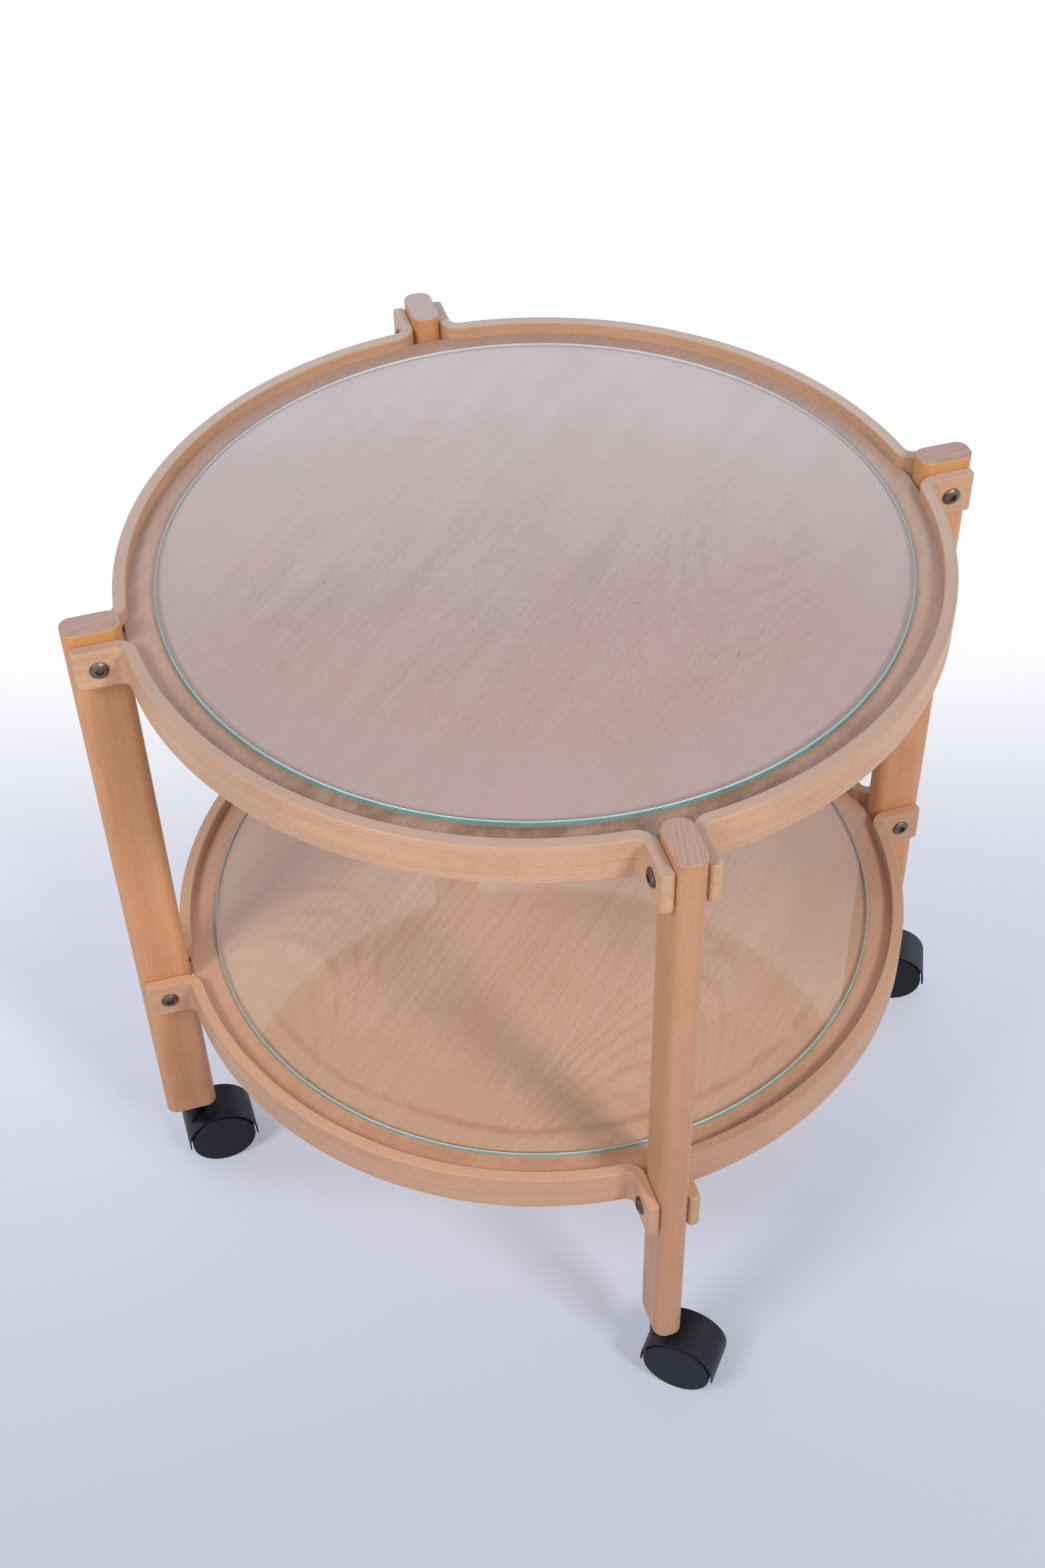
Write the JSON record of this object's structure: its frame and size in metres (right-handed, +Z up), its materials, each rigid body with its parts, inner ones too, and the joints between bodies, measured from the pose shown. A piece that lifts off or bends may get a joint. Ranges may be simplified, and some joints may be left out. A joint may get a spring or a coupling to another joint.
{
  "type": "serving trolley",
  "caption": "Round wooden serving trolley with glass-topped trays one above the other, bent rails clasping flat legs, and hooded swivel casters.",
  "frame": {"origin": "on the floor under the middle of the trays", "axes": "+Z up; the legs stand on the diagonals between X and Y; the picture shows the -Y side, turned by about 30 degrees towards +X"},
  "size_m": [0.545, 0.545, 0.55],
  "materials": {
    "leg_beech": "clear matt lacquer on steamed beech",
    "rail_beech": "clear matt lacquer on bent-laminated beech",
    "upper_veneer": "satin lacquer on beech veneer",
    "lower_veneer": "satin lacquer on beech veneer",
    "tray_glass": "clear float glass with a ground edge",
    "bronzed_steel": "dark bronzed steel",
    "hood_plastic": "black moulded plastic, faint sheen",
    "wheel_plastic": "charcoal moulded plastic",
    "socket_plastic": "black moulded plastic",
    "bright_steel": "zinc-plated steel"
  },
  "bodies": {
    "frame": {"front_left_leg": "leg_beech", "front_right_leg": "leg_beech", "back_right_leg": "leg_beech", "back_left_leg": "leg_beech", "upper_rail_front": "rail_beech", "upper_rail_right": "rail_beech", "upper_rail_back": "rail_beech", "upper_rail_left": "rail_beech", "upper_panel": "upper_veneer", "upper_bolts": "bronzed_steel", "upper_sleeve_nuts": "bronzed_steel", "lower_rail_front": "rail_beech", "lower_rail_right": "rail_beech", "lower_rail_back": "rail_beech", "lower_rail_left": "rail_beech", "lower_panel": "lower_veneer", "lower_bolts": "bronzed_steel", "lower_sleeve_nuts": "bronzed_steel", "front_left_caster_socket": "socket_plastic", "front_right_caster_socket": "socket_plastic", "back_right_caster_socket": "socket_plastic", "back_left_caster_socket": "socket_plastic"},
    "upper_glass": {"upper_glass": "tray_glass"},
    "lower_glass": {"lower_glass": "tray_glass"},
    "front_left_caster": {"front_left_caster_hood": "hood_plastic", "front_left_caster_stem": "bright_steel", "front_left_caster_grip_ring": "bright_steel", "front_left_caster_axle": "bright_steel"},
    "front_left_wheel_left": {"front_left_caster_wheel_left": "wheel_plastic"},
    "front_left_wheel_right": {"front_left_caster_wheel_right": "wheel_plastic"},
    "front_right_caster": {"front_right_caster_hood": "hood_plastic", "front_right_caster_stem": "bright_steel", "front_right_caster_grip_ring": "bright_steel", "front_right_caster_axle": "bright_steel"},
    "front_right_wheel_left": {"front_right_caster_wheel_left": "wheel_plastic"},
    "front_right_wheel_right": {"front_right_caster_wheel_right": "wheel_plastic"},
    "back_right_caster": {"back_right_caster_hood": "hood_plastic", "back_right_caster_stem": "bright_steel", "back_right_caster_grip_ring": "bright_steel", "back_right_caster_axle": "bright_steel"},
    "back_right_wheel_left": {"back_right_caster_wheel_left": "wheel_plastic"},
    "back_right_wheel_right": {"back_right_caster_wheel_right": "wheel_plastic"},
    "back_left_caster": {"back_left_caster_hood": "hood_plastic", "back_left_caster_stem": "bright_steel", "back_left_caster_grip_ring": "bright_steel", "back_left_caster_axle": "bright_steel"},
    "back_left_wheel_left": {"back_left_caster_wheel_left": "wheel_plastic"},
    "back_left_wheel_right": {"back_left_caster_wheel_right": "wheel_plastic"}
  },
  "joints": [
    {"name": "upper_glass_lift", "type": "slide", "parent": "frame", "child": "upper_glass", "axis": [0, 0, 1], "range_m": [0, 0.1]},
    {"name": "lower_glass_lift", "type": "slide", "parent": "frame", "child": "lower_glass", "axis": [0, 0, 1], "range_m": [0, 0.2]},
    {"name": "front_left_swivel", "type": "hinge", "parent": "frame", "child": "front_left_caster", "pos_m": [-0.204, -0.204, 0.063], "axis": [0, 0, 1], "continuous": true},
    {"name": "front_left_wheel_left_spin", "type": "hinge", "parent": "front_left_caster", "child": "front_left_wheel_left", "pos_m": [-0.1911, -0.19074, 0.025], "axis": [-0.7169, 0.6972, 0], "continuous": true},
    {"name": "front_left_wheel_right_spin", "type": "hinge", "parent": "front_left_caster", "child": "front_left_wheel_right", "pos_m": [-0.1911, -0.19074, 0.025], "axis": [-0.7169, 0.6972, 0], "continuous": true},
    {"name": "front_right_swivel", "type": "hinge", "parent": "frame", "child": "front_right_caster", "pos_m": [0.204, -0.204, 0.063], "axis": [0, 0, 1], "continuous": true},
    {"name": "front_right_wheel_left_spin", "type": "hinge", "parent": "front_right_caster", "child": "front_right_wheel_left", "pos_m": [0.2224, -0.20207, 0.025], "axis": [-0.1045, 0.9945, 0], "continuous": true},
    {"name": "front_right_wheel_right_spin", "type": "hinge", "parent": "front_right_caster", "child": "front_right_wheel_right", "pos_m": [0.2224, -0.20207, 0.025], "axis": [-0.1045, 0.9945, 0], "continuous": true},
    {"name": "back_right_swivel", "type": "hinge", "parent": "frame", "child": "back_right_caster", "pos_m": [0.204, 0.204, 0.063], "axis": [0, 0, 1], "continuous": true},
    {"name": "back_right_wheel_left_spin", "type": "hinge", "parent": "back_right_caster", "child": "back_right_wheel_left", "pos_m": [0.22133, 0.21048, 0.025], "axis": [-0.3502, 0.9367, 0], "continuous": true},
    {"name": "back_right_wheel_right_spin", "type": "hinge", "parent": "back_right_caster", "child": "back_right_wheel_right", "pos_m": [0.22133, 0.21048, 0.025], "axis": [-0.3502, 0.9367, 0], "continuous": true},
    {"name": "back_left_swivel", "type": "hinge", "parent": "frame", "child": "back_left_caster", "pos_m": [-0.204, 0.204, 0.063], "axis": [0, 0, 1], "continuous": true},
    {"name": "back_left_wheel_left_spin", "type": "hinge", "parent": "back_left_caster", "child": "back_left_wheel_left", "pos_m": [-0.18737, 0.21211, 0.025], "axis": [-0.4384, 0.8988, 0], "continuous": true},
    {"name": "back_left_wheel_right_spin", "type": "hinge", "parent": "back_left_caster", "child": "back_left_wheel_right", "pos_m": [-0.18737, 0.21211, 0.025], "axis": [-0.4384, 0.8988, 0], "continuous": true}
  ]
}
